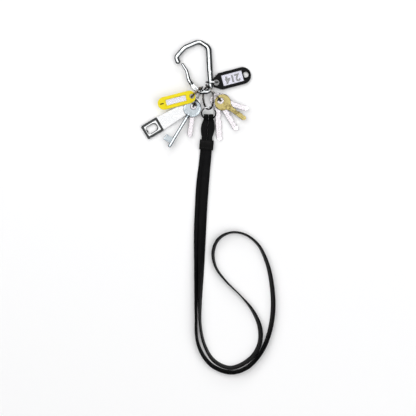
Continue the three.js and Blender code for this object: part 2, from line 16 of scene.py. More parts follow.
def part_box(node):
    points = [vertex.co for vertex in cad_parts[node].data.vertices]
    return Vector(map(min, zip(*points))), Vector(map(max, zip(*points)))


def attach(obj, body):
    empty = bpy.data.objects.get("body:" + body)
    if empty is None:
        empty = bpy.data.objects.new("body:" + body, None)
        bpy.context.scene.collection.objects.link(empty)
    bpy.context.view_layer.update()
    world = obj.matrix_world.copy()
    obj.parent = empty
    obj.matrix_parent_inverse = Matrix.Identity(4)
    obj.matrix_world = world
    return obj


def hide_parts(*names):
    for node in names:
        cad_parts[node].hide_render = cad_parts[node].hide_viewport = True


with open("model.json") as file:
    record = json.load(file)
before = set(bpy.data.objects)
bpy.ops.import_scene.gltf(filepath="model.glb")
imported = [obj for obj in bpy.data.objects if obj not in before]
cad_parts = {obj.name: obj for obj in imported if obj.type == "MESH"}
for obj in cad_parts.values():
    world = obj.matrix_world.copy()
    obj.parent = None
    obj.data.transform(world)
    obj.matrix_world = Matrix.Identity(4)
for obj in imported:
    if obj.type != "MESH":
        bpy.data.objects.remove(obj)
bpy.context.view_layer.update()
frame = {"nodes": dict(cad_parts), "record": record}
joints = {joint["name"]: joint for joint in frame["record"]["behaviour"]["joints"]}

# %% [markdown]
# ## Where things are
# A joint's pivot is a real place: each key swings about the middle of its hole, and the carabiner's
# gate about its rivet. So every piece is drawn flat, round its own pivot, and set down by one matrix
# made from the pivot and two directions.

# %% Placing helpers
MM = 0.001


def mm(*values):
    return Vector([value * MM for value in values])


def middle_of(node):
    low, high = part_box(node)
    return (Vector(low) + Vector(high)) / 2


def pivot(joint):
    return Vector(joints[joint]["pos_m"]), Vector(joints[joint]["axis"]).normalized()


def stand(origin, along, up):
    """The matrix that puts local x along a direction and local z up another, square to it."""
    up = up.normalized()
    side = up.cross(along).normalized()
    ahead = side.cross(up)
    return Matrix((
        (ahead.x, side.x, up.x, origin.x),
        (ahead.y, side.y, up.y, origin.y),
        (ahead.z, side.z, up.z, origin.z),
        (0, 0, 0, 1),
    ))


def heading(degrees):
    return Vector((math.cos(math.radians(degrees)), math.sin(math.radians(degrees)), 0))


strap_ring_middle = middle_of("strap_ring")
# The layout's own zero, from which the lanyard's route and the camera are measured.
zero = Vector((strap_ring_middle.x, strap_ring_middle.y, 0)) - mm(0.2, -64.3, 0)
print("layout zero at", tuple(round(value, 4) for value in zero))

# %% [markdown]
# ## Camera, table and light
# Everything lies flat and is seen straight from above, so a long lens high over the table keeps the
# rings from spreading. The table is a pale sheet, and large soft lamps with a darker band round the
# horizon give the bright and dark streaks by which an eye tells polished metal from grey paint.

# %% Camera
VIEW_WIDTH = 0.5616
CAMERA_HEIGHT = 2.4
camera_data = bpy.data.cameras.new("camera")
camera_data.lens = camera_data.sensor_width * CAMERA_HEIGHT / VIEW_WIDTH
camera = bpy.data.objects.new("camera", camera_data)
camera.location = zero + mm(-0.7, -191.7, 0) + Vector((0, 0, CAMERA_HEIGHT))
bpy.context.scene.collection.objects.link(camera)
bpy.context.scene.camera = camera

# %% Lamps and world
scene = bpy.context.scene
scene.view_settings.view_transform = "Standard"


def lamp(name, place, target, size, power):
    data = bpy.data.lights.new(name, "AREA")
    data.size = size
    data.energy = power
    made = bpy.data.objects.new(name, data)
    made.location = place
    made.rotation_euler = (Vector(target) - Vector(place)).to_track_quat("-Z", "Y").to_euler()
    scene.collection.objects.link(made)


look = zero + mm(0, -150, 0)
lamp("key_lamp", look + Vector((-1.0, 0.8, 1.9)), look, 2.1, 29)
lamp("fill_lamp", look + Vector((1.1, -0.5, 1.7)), look, 2.1, 21)
lamp("strip_lamp", look + Vector((0.1, 1.5, 0.9)), look, 0.4, 4)

world = bpy.data.worlds.new("studio")
world.use_nodes = True
scene.world = world
sky = world.node_tree
coordinates = sky.nodes.new("ShaderNodeTexCoord")
split = sky.nodes.new("ShaderNodeSeparateXYZ")
ramp = sky.nodes.new("ShaderNodeValToRGB")
sky.links.new(coordinates.outputs["Generated"], split.inputs[0])
sky.links.new(split.outputs["Z"], ramp.inputs[0])
sky.links.new(ramp.outputs[0], sky.nodes["Background"].inputs["Color"])
for place, shade in ((0.5, 0.02), (0.74, 0.05), (0.84, 0.8), (0.92, 1.0)):
    stop = ramp.color_ramp.elements.new(place)
    stop.color = (shade, shade, shade * 1.02, 1)
ramp.color_ramp.elements[0].color = (0.02, 0.02, 0.02, 1)
ramp.color_ramp.elements[-1].color = (1, 1, 1, 1)
sky.nodes["Background"].inputs["Strength"].default_value = 1.0

# %% [markdown]
# ## Shader maths as Python
# A finish is a small graph of nodes. Written node by node it is long and hard to read, so a socket is
# wrapped in a class that understands + - * and /, and every other node comes from one method.

# %% Finish helpers
class Signal:
    """A socket's value, for use in a Python expression."""

    def __init__(self, finish, socket):
        self.finish = finish
        self.socket = socket

    def _math(self, operation, *values):
        return self.finish.node("ShaderNodeMath", {"operation": operation}, dict(enumerate(values)))

    def __add__(self, other):
        return self._math("ADD", self, other)

    def __sub__(self, other):
        return self._math("SUBTRACT", self, other)

    def __rsub__(self, other):
        return self._math("SUBTRACT", other, self)

    def __mul__(self, other):
        return self._math("MULTIPLY", self, other)

    def __truediv__(self, other):
        return self._math("DIVIDE", self, other)

    __radd__ = __add__
    __rmul__ = __mul__

    def above(self, low, high):
        """0 below low, 1 over high and smooth between."""
        return self.finish.node(
            "ShaderNodeMapRange", {"interpolation_type": "SMOOTHSTEP"}, {0: self, 1: low, 2: high}
        )


class Finish:
    """A material whose graph is written as expressions."""

    def __init__(self, name, **constants):
        self.material = bpy.data.materials.new(name)
        self.material.use_nodes = True
        self.tree = self.material.node_tree
        self.shader = self.tree.nodes["Principled BSDF"]
        self.set(**constants)

    def node(self, kind, settings=None, inputs=None, output=0):
        made = self.tree.nodes.new(kind)
        for key, value in (settings or {}).items():
            setattr(made, key, value)
        for key, value in (inputs or {}).items():
            self._feed(made.inputs[key], value)
        return Signal(self, made.outputs[output])

    def _feed(self, socket, value):
        if isinstance(value, Signal):
            self.tree.links.new(value.socket, socket)
        else:
            socket.default_value = value

    def set(self, **sockets):
        for key, value in sockets.items():
            self._feed(self.shader.inputs[key.replace("_", " ").title().replace("Ior", "IOR")], value)

    def place(self, stretch=(1, 1, 1), turn=0):
        """The piece's own coordinates, stretched, and turned about the upright."""
        own = self.node("ShaderNodeTexCoord", output="Object")
        return self.node("ShaderNodeMapping", inputs={
            "Vector": own, "Scale": stretch, "Rotation": (0, 0, math.radians(turn)),
        })

    def noise(self, size, detail=3, where=None, roughness=0.5):
        """Cloudy noise whose blotches are about size metres across."""
        return self.node("ShaderNodeTexNoise", inputs={
            "Vector": where or self.place(), "Scale": 1 / size, "Detail": detail, "Roughness": roughness,
        })

    def grain(self, size, where=None):
        """The distance to the nearest edge of cells about size metres across."""
        return self.node("ShaderNodeTexVoronoi", {"feature": "DISTANCE_TO_EDGE"}, {
            "Vector": where or self.place(), "Scale": 1 / size,
        })

    def flatness(self):
        """1 where the piece's surface lies flat, and 0 where it stands upright."""
        normal = self.node("ShaderNodeTexCoord", output="Normal")
        upright = self.node("ShaderNodeSeparateXYZ", inputs={0: normal}, output="Z")
        return self.node("ShaderNodeMath", {"operation": "ABSOLUTE"}, {0: upright})

    def mix(self, mask, first, second):
        return self.node("ShaderNodeMix", {"data_type": "RGBA"}, {
            "Factor": mask, 6: (*first, 1) if isinstance(first, tuple) else first,
            7: (*second, 1) if isinstance(second, tuple) else second,
        }, output=2)

    def bump(self, height, depth):
        """Gives the surface a relief of the given depth in metres."""
        relief = self.node("ShaderNodeBump", inputs={"Distance": depth, "Strength": 1.0, "Height": height})
        self.set(normal=relief)


# %% [markdown]
# ## Finishes
# Keys are never clean: a pocket rubs fine scratches all over them and leaves a darker film where
# nothing rubs. So every metal here has three layers, a broad film, fine scratches in two directions,
# and a little variation in how sharply it shines. Most metals also take painted shade, a darker colour
# on every side that stands upright, which draws the dark outline along their edges.

# %% Metals
def scratches(finish, turn):
    """Thin marks that run one way, from noise stretched sixty times."""
    lines = finish.noise(0.0007, 2, finish.place((0.05, 1, 0.6), turn))
    return lines.above(0.62, 0.72)


def metal(name, bright, film, roughness, tarnish=0.5, relief=0.00002, edge=None):
    """Bright metal under a darker film, and, where edge is a colour, painted shade on its upright sides."""
    made = Finish(name, metallic=1.0)
    cloud = made.noise(0.006, 4)
    film_mask = cloud.above(0.45, 0.75) * tarnish
    marks = scratches(made, 25) + scratches(made, -50)
    colour = made.mix(film_mask, bright, film)
    # Painted shade: where edge is a colour, surfaces that stand upright take it, drawing the dark outline that
    # reflection and shadow give at the sides.
    if edge:
        colour = made.mix(made.flatness().above(0.97, 0.8), colour, edge)
    made.set(
        base_color=colour,
        roughness=film_mask * 0.18 + marks * 0.08 + roughness,
    )
    made.bump(marks * -0.5 + made.noise(0.0012, 3) * 0.35, relief)
    return made.material


# Each edge colour below is painted shade for the metal's upright sides, which draws their dark outlines.
polished_aluminium = metal("polished_aluminium", (0.62, 0.64, 0.65), (0.24, 0.26, 0.27), 0.06, 0.8, 0.000008,
                           edge=(0.09, 0.1, 0.105))
ring_steel = metal("ring_steel", (0.36, 0.35, 0.34), (0.09, 0.08, 0.07), 0.16, 0.8, edge=(0.06, 0.055, 0.05))
bronze = metal("antique_bronze", (0.27, 0.2, 0.13), (0.07, 0.05, 0.033), 0.22, 0.9)
bright_steel = metal("bright_steel", (0.9, 0.91, 0.92), (0.62, 0.63, 0.64), 0.12, 0.4, edge=(0.12, 0.12, 0.12))
nickel = metal("worn_nickel", (0.86, 0.82, 0.85), (0.6, 0.55, 0.58), 0.16, 0.5, edge=(0.16, 0.14, 0.15))
lever_nickel = metal("cool_nickel", (0.6, 0.66, 0.7), (0.24, 0.29, 0.32), 0.1, 0.8, 0.000012,
                     edge=(0.06, 0.07, 0.075))
brass = metal("worn_brass", (0.56, 0.47, 0.19), (0.17, 0.13, 0.045), 0.15, 1.0, edge=(0.06, 0.045, 0.016))
dark_bevel = metal("dark_ground_steel", (0.05, 0.052, 0.052), (0.02, 0.02, 0.02), 0.26, 0.7)
print("metals:", 8)

# %% [markdown]
# The lanyard is smooth black leather: pebbled cells under a thin wax, a few long stretch creases,
# and a little grey where the wax is worn. The tags are moulded plastic with a faint orange peel.

# %% Leather, plastic and paper
def leather(name, tone):
    made = Finish(name, specular_ior_level=0.06)
    cells = made.grain(0.0009)
    pores = made.noise(0.0004, 2)
    wear = made.noise(0.011, 5).above(0.52, 0.78)
    worn = tuple(0.007 + value * 1.6 for value in tone)
    made.set(
        base_color=made.mix(wear * 0.55, tone, worn),
        roughness=wear * 0.14 + made.noise(0.002, 2) * 0.14 + 0.42,
    )
    made.bump(cells.above(0.0, 0.22) * 0.8 + pores * 0.3 + made.noise(0.006, 3) * 0.7, 0.00009)
    return made.material


def moulded(name, tone, shade, roughness):
    made = Finish(name, specular_ior_level=0.08, coat_weight=0.02, coat_roughness=0.12)
    scuff = scratches(made, 10) + scratches(made, 75)
    made.set(
        base_color=made.mix(made.noise(0.009, 3).above(0.4, 0.8), tone, shade),
        roughness=scuff * 0.12 + made.noise(0.003, 2) * 0.1 + roughness,
    )
    made.bump(made.noise(0.0011, 2) * 0.6 - scuff * 0.3, 0.00003)
    return made.material


def card(name, tone, shade):
    made = Finish(name, roughness=0.85)
    fibres = made.noise(0.0005, 4, made.place((0.4, 1, 1), 30))
    made.set(base_color=made.mix(fibres, tone, shade))
    made.bump(fibres, 0.00003)
    return made.material


black_leather = leather("black_leather", (0.003, 0.003, 0.0034))
keeper_leather = leather("keeper_leather", (0.0042, 0.004, 0.004))
thread = card("waxed_thread", (0.02, 0.02, 0.022), (0.008, 0.008, 0.009))
yellow_plastic = moulded("yellow_plastic", (0.82, 0.68, 0.014), (0.73, 0.58, 0.01), 0.3)
black_plastic = moulded("black_plastic", (0.003, 0.003, 0.0035), (0.006, 0.006, 0.007), 0.26)
label_card = card("label_card", (0.78, 0.77, 0.88), (0.68, 0.67, 0.8))
ink = card("label_ink", (0.03, 0.03, 0.035), (0.05, 0.05, 0.055))


def clear_sheet():
    made = Finish("clear_sheet", base_color=(0.97, 0.98, 1, 1), alpha=0.16)
    haze = made.noise(0.004, 3)
    made.set(roughness=haze * 0.12 + scratches(made, 15) * 0.1 + 0.05)
    made.bump(haze, 0.00002)
    return made.material


clear = clear_sheet()

# %% [markdown]
# ## Making pieces
# Two ways of making cover nearly everything. A bent bar is one loop of edges, extruded from station
# to station along a path, which suits the carabiner, the rings' wire and the strap. A flat piece is an
# outline with holes, filled, given thickness and then bevelled, because a sharp edge never catches
# light and a stamped key has none.

# %% Mesh helpers
def finish_piece(name, bm, material, body, node=None, smooth_angle=40, weighted=True):
    """Turns a bmesh into a finished piece that rides on its body."""
    bmesh.ops.remove_doubles(bm, verts=bm.verts, dist=1e-7)
    bmesh.ops.recalc_face_normals(bm, faces=bm.faces)
    mesh = bpy.data.meshes.new(name)
    bm.to_mesh(mesh)
    bm.free()
    mesh.shade_smooth()
    mesh.set_sharp_from_angle(angle=math.radians(smooth_angle))
    made = bpy.data.objects.new(name, mesh)
    scene.collection.objects.link(made)
    mesh.materials.append(material)
    if weighted:
        modifier = made.modifiers.new("even_normals", "WEIGHTED_NORMAL")
        modifier.keep_sharp = True
    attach(made, body)
    if node:
        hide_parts(node)
    return made


def arc(x, y, radius, start, end, count=12):
    """Points round a circle, between two angles in degrees."""
    angles = [math.radians(start + (end - start) * i / count) for i in range(count + 1)]
    return [(x + radius * math.cos(a), y + radius * math.sin(a)) for a in angles]


def ring_points(x, y, radius, count=36):
    return arc(x, y, radius, 0, 360, count)[:-1]


def rounded_box(width, height, radius, count=3, x=0, y=0):
    """A rectangle's outline with rounded corners."""
    half, tall = width / 2 - radius, height / 2 - radius
    points = []
    for turn, cx, cy in ((0, half, tall), (90, -half, tall), (180, -half, -tall), (270, half, -tall)):
        points += arc(x + cx, y + cy, radius, turn, turn + 90, count)
    return points


def add_plate(bm, outline, holes, thickness, bevel, level=0.0, segments=3, placed=None):
    """Fills an outline with holes, in millimetres, and gives it a thickness and bevelled edges."""
    edges = []
    for loop in (outline, *holes):
        verts = [bm.verts.new(mm(x, y, level - thickness / 2)) for x, y in loop]
        edges += [bm.edges.new((a, b)) for a, b in zip(verts, verts[1:] + verts[:1])]
    filled = bmesh.ops.triangle_fill(bm, edges=edges, use_beauty=True, normal=(0, 0, 1))
    faces = [part for part in filled["geom"] if isinstance(part, bmesh.types.BMFace)]
    raised = bmesh.ops.extrude_face_region(bm, geom=faces, use_keep_orig=True)["geom"]
    top = [part for part in raised if isinstance(part, bmesh.types.BMVert)]
    bmesh.ops.translate(bm, verts=top, vec=mm(0, 0, thickness))
    bottom = {vert for face in faces for vert in face.verts}
    shell = bottom | set(top)
    own_faces = {face for vert in shell for face in vert.link_faces}
    bmesh.ops.recalc_face_normals(bm, faces=list(own_faces))
    sharp = [edge for edge in {e for v in shell for e in v.link_edges}
             if len(edge.link_faces) == 2 and edge.calc_face_angle(0) > math.radians(60)
             and abs(edge.verts[0].co.z - edge.verts[1].co.z) < 1e-9]
    if bevel:
        bevelled = bmesh.ops.bevel(
            bm, geom=sharp, offset=bevel * MM, offset_type="OFFSET", segments=segments,
            profile=0.5, affect="EDGES", material=-1, clamp_overlap=True,
        )
        shell = {vert for vert in shell if vert.is_valid} | set(bevelled["verts"])
    if placed is not None:
        bmesh.ops.transform(bm, matrix=placed, verts=list(shell))
    return shell


def add_sweep(bm, section, stations, closed=False):
    """Extrudes a closed section, in millimetres, through a list of matrices."""
    verts = [bm.verts.new(stations[0] @ mm(x, y, 0)) for x, y in section]
    loop = [bm.edges.new((a, b)) for a, b in zip(verts, verts[1:] + verts[:1])]
    first = list(loop)
    for before, after in zip(stations, stations[1:]):
        pulled = bmesh.ops.extrude_edge_only(bm, edges=loop)["geom"]
        moved = [part for part in pulled if isinstance(part, bmesh.types.BMVert)]
        bmesh.ops.transform(bm, matrix=after @ before.inverted(), verts=moved)
        loop = [part for part in pulled if isinstance(part, bmesh.types.BMEdge)
                and all(vert in moved for vert in part.verts)]
    if closed:
        bmesh.ops.bridge_loops(bm, edges=first + loop)
    else:
        bmesh.ops.holes_fill(bm, edges=first + loop, sides=len(section))


def station(point, along, up, wide=1.0, tall=1.0):
    """A section's place on a path: its x across the path and its y up."""
    ahead = along.normalized()
    across = up.cross(ahead).normalized()
    high = ahead.cross(across)
    turned = Matrix((
        (across.x, high.x, ahead.x, point.x),
        (across.y, high.y, ahead.y, point.y),
        (across.z, high.z, ahead.z, point.z),
        (0, 0, 0, 1),
    ))
    return turned @ Matrix.Diagonal((wide, tall, 1, 1))


def smooth_line(points, per_span):
    """A centripetal spline through points of any size, with its parameter at each sample."""
    samples = []
    padded = [points[0] * 2 - points[1], *points, points[-1] * 2 - points[-2]]
    for i in range(len(points) - 1):
        a, b, c, d = padded[i:i + 4]
        gaps = [max((q - p).length, 1e-9) ** 0.5 for p, q in ((a, b), (b, c), (c, d))]
        start = ((b - a) / gaps[0] - (c - a) / (gaps[0] + gaps[1]) + (c - b) / gaps[1]) * gaps[1]
        end = ((c - b) / gaps[1] - (d - b) / (gaps[1] + gaps[2]) + (d - c) / gaps[2]) * gaps[1]
        for step in range(per_span):
            t = step / per_span
            h1, h2 = 2 * t ** 3 - 3 * t ** 2 + 1, t ** 3 - 2 * t ** 2 + t
            h3, h4 = -2 * t ** 3 + 3 * t ** 2, t ** 3 - t ** 2
            samples.append((i + t, b * h1 + start * h2 + c * h3 + end * h4))
    samples.append((len(points) - 1, points[-1]))
    return samples


# %% [markdown]
# ## The lanyard
# One leather strap, a good metre long, goes out flat from the keeper, turns up on its edge, runs
# round a loop and comes back beside itself. It is free and limp. Its section is a rounded strip with a
# pressed line near each edge.

# %% Strap route
STRAP_WIDTH = 11
STRAP_THICKNESS = 1.8
STRAP_FLOOR = 0.15
# Each point: x, y, the strap's roll in degrees, where 0 is flat and 90 on edge, and its lift.
ROUTE = [
    (-4.8, -104.8, 0, 1.55), (-5.9, -116, 0, 1.45), (-7.8, -133, 0, 0.2), (-11.2, -160.7, -4, 0),
    (-12.8, -187.7, -10, 0), (-14.6, -224, -25, 0), (-15.4, -264.6, -45, 0), (-16.3, -302.4, -65, 0),
    (-16.9, -336.2, -78, 0), (-15.3, -369.9, -76, 0), (-7.4, -390, -72, 0), (6.1, -405, -70, 0),
    (30, -413.2, -70, 0), (52, -406.6, -70, 0), (70.9, -386.1, -68, 0), (81.7, -360.5, -64, 0),
    (86.8, -330.8, -62, 0), (85.7, -298.4, -64, 0), (79, -266, -70, 0), (66.2, -240.3, -78, 0),
    (47.9, -226.8, -82, 0), (29, -224.9, -80, 0), (12.8, -234.2, -72, 0), (6.1, -251.8, -72, 0),
    (10.1, -272, -80, 0), (23.6, -290.3, -86, 0), (43.9, -310.5, -92, 0), (60.1, -330.8, -108, 0),
    (69.5, -353.7, -118, 0), (68.2, -376.7, -116, 0), (55.4, -395.4, -112, 0), (30.4, -407, -110, 0),
    (8.1, -398, -108, 0), (-4.9, -377.5, -104, 0), (-11.1, -349.7, -102, 0), (-11.4, -315.9, -112, 0),
    (-10.1, -278.1, -130, 0), (-8.9, -234.9, -152, 0.5), (-6.9, -187.7, -170, 1.9),
    (-3.6, -143, -179, 2.4), (-1.4, -118, -180, 3.65), (-0.5, -104.8, -180, 3.85),
]


def strap_point(x, y, roll, lift):
    turn = math.radians(roll)
    rise = abs(math.sin(turn)) * STRAP_WIDTH / 2 + abs(math.cos(turn)) * STRAP_THICKNESS / 2
    return zero + mm(x, y, STRAP_FLOOR + rise + lift)


def strap_section(width, thickness):
    """A strip with rounded edges and a pressed line along each side, on both faces."""
    half, tall, edge = width / 2, thickness / 2, thickness * 0.42
    crease, depth = 1.5, 0.16
    upper = [(half - crease + dx, tall - dy) for dx, dy in ((0.3, 0), (0, depth), (-0.3, 0))]
    upper += [(-x, y) for x, y in reversed(upper)]
    points = arc(half - edge, tall - edge, edge, 0, 90, 3) + upper
    points += arc(-half + edge, tall - edge, edge, 90, 180, 3)
    return points + [(-x, -y) for x, y in points]


route_points = [strap_point(*point) for point in ROUTE]
line = smooth_line(route_points, 8)
stations = []
for index, (place, point) in enumerate(line):
    behind = line[max(index - 1, 0)][1]
    ahead = line[min(index + 1, len(line) - 1)][1]
    low = min(int(place), len(ROUTE) - 2)
    roll = ROUTE[low][2] + (ROUTE[low + 1][2] - ROUTE[low][2]) * (place - low)
    flat = station(point, ahead - behind, Vector((0, 0, 1)))
    # The CAD turns its strip about the way it runs, so the section turns the same way here.
    stations.append(flat @ Matrix.Rotation(math.radians(roll), 4, "Z"))

strap_mesh = bmesh.new()
add_sweep(strap_mesh, strap_section(STRAP_WIDTH, STRAP_THICKNESS), stations)
strap = finish_piece("leather_lanyard", strap_mesh, black_leather, "lanyard", "lanyard_strap",
                     weighted=False)
strap_length = sum((b[1] - a[1]).length for a, b in zip(line, line[1:]))
print("strap length", round(strap_length, 3))

# %% [markdown]
# ## The carabiner
# The body is one aluminium rod, bent to shape, a little stouter down the spine where it carries the
# load. The rod is swept along its own bends with a size that changes on the way. Its hinge end is
# milled to a thin tongue, and the gate's forked end straddles it on a rivet.

# %% Paths with rounded corners
def rounded_line(corners, radii, pitch):
    """Evenly spaced points along a line whose inner corners are rounded, in millimetres."""
    points = [Vector((*corners[0], 0))]
    for i, radius in enumerate(radii):
        before, corner, after = (Vector((*corners[i + k], 0)) for k in range(3))
        back, ahead = (before - corner).normalized(), (after - corner).normalized()
        half = back.angle(ahead) / 2
        middle = corner + (back + ahead).normalized() * radius / math.sin(half)
        start = (corner + back * radius / math.tan(half) - middle).normalized()
        end = (corner + ahead * radius / math.tan(half) - middle).normalized()
        steps = max(4, int(start.angle(end) / math.radians(3)))
        points += [middle + start.slerp(end, k / steps) * radius for k in range(steps + 1)]
    points.append(Vector((*corners[-1], 0)))
    return even_points(points, pitch)


def even_points(points, pitch):
    lengths = [0.0]
    for a, b in zip(points, points[1:]):
        lengths.append(lengths[-1] + (b - a).length)
    count = max(2, round(lengths[-1] / pitch))
    even, at = [], 0
    for k in range(count + 1):
        target = lengths[-1] * k / count
        while at < len(points) - 2 and lengths[at + 1] < target:
            at += 1
        span = max(lengths[at + 1] - lengths[at], 1e-9)
        even.append(points[at].lerp(points[at + 1], min(max((target - lengths[at]) / span, 0), 1)))
    return even


def blend(stops, u):
    """Straight-line blending between (place, value) stops."""
    for (start, low), (end, high) in zip(stops, stops[1:]):
        if u <= end:
            return low + (high - low) * (u - start) / (end - start)
    return stops[-1][1]


def path_stations(points, sizes, placed, up=Vector((0, 0, 1)), rounding=(0, 0)):
    """Stations along points in millimetres, whose ends are rounded over by a length in millimetres."""
    made = []
    count = len(points) - 1
    run = sum((b - a).length for a, b in zip(points, points[1:]))
    for k, point in enumerate(points):
        ahead = points[min(k + 1, count)] - points[max(k - 1, 0)]
        scale = 1.0
        for distance, nose in ((run * k / count, rounding[0]), (run * (count - k) / count, rounding[1])):
            if nose and distance < nose:
                scale = min(scale, math.sqrt(max(1 - (1 - distance / nose) ** 2, 0.04)))
        wide, tall = sizes(k / count, point)
        made.append(placed @ station(point * MM, ahead, up, wide * scale, tall * scale))
    return made


# %% Carabiner body
RIVET = (-18.3, -30.9)
ROD_STOPS = [(0, 3.1), (0.06, 3.1), (0.22, 3.1), (0.32, 4), (0.52, 4), (0.62, 3.2), (0.88, 3.2), (0.93, 3.3), (1, 3.3)]
BODY_CORNERS = [RIVET, (-11, -36), (3.2, -35.5), (0.3, 24.5), (-12.5, 33.2), (-32.5, 24.5), (-43.6, 11.5),
                (-40.2, 2.5)]
round_bar = ring_points(0, 0, 1, 30)

hinge_place, hinge_axis = pivot("gate_hinge")
flat_carabiner = stand(Vector((0, 0, 0)), Vector((1, 0, 0)), -hinge_axis)
carabiner_place = Matrix.Translation(hinge_place - flat_carabiner @ mm(*RIVET, 0)) @ flat_carabiner


def add_turned(bm, profile, placed, steps=36):
    """Spins a profile of (radius, height) points, in millimetres, round the local z axis."""
    verts = [bm.verts.new(mm(radius, 0, height)) for radius, height in profile]
    edges = [bm.edges.new(pair) for pair in zip(verts, verts[1:])]
    spun = bmesh.ops.spin(
        bm, geom=verts + edges, cent=(0, 0, 0), axis=(0, 0, 1), angle=math.tau, steps=steps, use_merge=True
    )
    loose = {part for part in spun["geom_last"] if isinstance(part, bmesh.types.BMVert)} | set(verts)
    grown, front = set(loose), list(loose)
    while front:
        near = {edge.other_vert(vert) for vert in front for edge in vert.link_edges} - grown
        grown |= near
        front = list(near)
    bmesh.ops.transform(bm, matrix=placed, verts=list(grown))


def eye_outline(radius, reach, turn, half):
    """A round eye with a straight shank, pointing along turn degrees, round the rivet."""
    shank = [(reach, -half), (reach, half)]
    lean = math.degrees(math.asin(min(half / radius, 1)))
    points = shank + arc(0, 0, radius, lean, 360 - lean, 24)
    c, s = math.cos(math.radians(turn)), math.sin(math.radians(turn))
    return [(RIVET[0] + x * c - y * s, RIVET[1] + x * s + y * c) for x, y in points]


body_line = [p for p in rounded_line(BODY_CORNERS, [5, 7, 9, 11, 16, 5], 0.7)
             if (p - Vector((*RIVET, 0))).length > 3.5]


def body_size(u, point):
    """The rod's half sizes, with the fine line turned round the spine."""
    half = blend(ROD_STOPS, u)
    if point.x > -6 and abs(point.y + 10) < 0.5:
        half *= 0.94
    return half, half


body_mesh = bmesh.new()
add_sweep(body_mesh, round_bar, path_stations(body_line, body_size, carabiner_place, rounding=(1.0, 2.4)))
tongue_turn = math.degrees(math.atan2(-36 - RIVET[1], -11 - RIVET[0]))
add_plate(body_mesh, eye_outline(3.0, 5.2, tongue_turn, 2.4), [ring_points(*RIVET, 1.2, 20)], 2.3, 0.25,
          placed=carabiner_place)
finish_piece("carabiner_bent_body", body_mesh, polished_aluminium, "carabiner", "carabiner_body")

# %% Gate, rivet and what is inside
GATE_CORNERS = [RIVET, (-26.4, -20.3), (-29.2, -7.5), (-35.8, 3.0)]
gate_line = [p for p in rounded_line(GATE_CORNERS, [12, 14], 0.6)
             if (p - Vector((*RIVET, 0))).length > 3.7]
gate_mesh = bmesh.new()
add_sweep(gate_mesh, round_bar, path_stations(
    gate_line, lambda u, point: (3.0 - 1.3 * u, 3.0 - 1.3 * u), carabiner_place, rounding=(0.8, 1.2)))
gate_turn = math.degrees(math.atan2(-20.3 - RIVET[1], -26.4 - RIVET[0]))
for side in (1, -1):
    add_plate(gate_mesh, eye_outline(3.0, 6.0, gate_turn, 2.3), [ring_points(*RIVET, 1.2, 20)], 1.25, 0.3,
              level=side * 2.15, placed=carabiner_place)
finish_piece("bent_gate", gate_mesh, polished_aluminium, "gate", "carabiner_gate")

slot_mesh = bmesh.new()
slot_place = carabiner_place @ Matrix.Translation(gate_line[6] * MM) @ Matrix.Rotation(
    math.radians(gate_turn), 4, "Z")
add_plate(slot_mesh, rounded_box(5.2, 1.3, 0.6), [], 5.86, 0.1, placed=slot_place)
finish_piece("gate_slot", slot_mesh, dark_bevel, "gate")

rivet_mesh = bmesh.new()
head = [(0, 3.95), (0.7, 3.88), (1.3, 3.68), (1.68, 3.35), (1.7, 3.3), (0.9, 3.3)]
add_turned(rivet_mesh, head + [(radius, -height) for radius, height in reversed(head)],
           Matrix.Translation(hinge_place) @ flat_carabiner)
finish_piece("domed_rivet", rivet_mesh, bright_steel, "carabiner", "gate_rivet")
for hidden in ("gate_spring", "gate_plunger"):
    for material_slot in frame["nodes"][hidden].material_slots:
        material_slot.material = bright_steel

# %% [markdown]
# ## Rings
# A split ring is flat spring wire wound twice, and the small step where one turn climbs over the
# other is what shows that it opens. The lanyard's ring is different, plain round wire welded shut.

# %% Split rings
COIL_TURNS = 1.94
flat_wire = rounded_box(1.6, 0.85, 0.22, 3)


def smooth_step(low, high, value):
    t = min(max((value - low) / (high - low), 0), 1)
    return t * t * (3 - 2 * t)


def split_ring(name, node, radius, placed, material):
    points = []
    for k in range(141):
        degrees = 360 * COIL_TURNS * k / 140
        height = 0.575 * (2 * smooth_step(325, 360, degrees) - 1)
        turn = math.radians(degrees)
        points.append(Vector((radius * math.cos(turn), radius * math.sin(turn), height)))
    ring_mesh = bmesh.new()
    add_sweep(ring_mesh, flat_wire, path_stations(points, lambda u, point: (1, 1), placed, rounding=(0.3, 0.3)))
    finish_piece(name, ring_mesh, material, node, node)


def upright_ring(node):
    """The place of a ring that stands round the bar: its x outwards, its y up."""
    bar_place, axis = pivot(node + "_swing")
    return stand(middle_of(node), axis.cross(Vector((0, 0, -1))), axis)


for node, radius, material, slot in (
    ("left_ring", 15, ring_steel, "gunmetal"), ("right_ring", 15, ring_steel, "gunmetal"),
    ("bronze_ring", 9, bronze, "bronze"), ("tag_ring", 8, bright_steel, "steel"),
):
    split_ring(node + "_coil", node, radius, upright_ring(node), material)

MAIN_PITCH, MAIN_LEAN = math.radians(8.4), math.radians(63.5)
north = Vector((0, math.cos(MAIN_PITCH), math.sin(MAIN_PITCH)))
main_axis = north.cross(Vector((math.cos(MAIN_LEAN), 0, math.sin(MAIN_LEAN)))).normalized()
split_ring("main_ring_coil", "main_ring", 15.24, stand(middle_of("main_ring"), north, main_axis),
           ring_steel)

# %% Lanyard ring
TILT = math.radians(35)
RING_RADIUS = 9.65
strap_ring_place = stand(strap_ring_middle, Vector((1, 0, 0)), Vector((0, -math.sin(TILT), math.cos(TILT))))
ring_mesh = bmesh.new()
around = [Vector((x, y, 0)) for x, y in ring_points(0, 0, RING_RADIUS, 64)]
round_stations = [strap_ring_place @ station(point * MM, Vector((-point.y, point.x, 0)), Vector((0, 0, 1)))
                  for point in around]
add_sweep(ring_mesh, ring_points(0, 0, 1, 16), round_stations, closed=True)
finish_piece("welded_ring", ring_mesh, bright_steel, "strap_ring", "strap_ring")

# %% [markdown]
# ## Keys
# A pin-tumbler key is a stamped blank, milled with a groove along the blade on both faces and cut
# with notches on one edge. The blade is a grooved section swept to the tip, and its notched edge is
# then pulled down to the depth of each cut. The bow is a stamped plate with a raised rim.

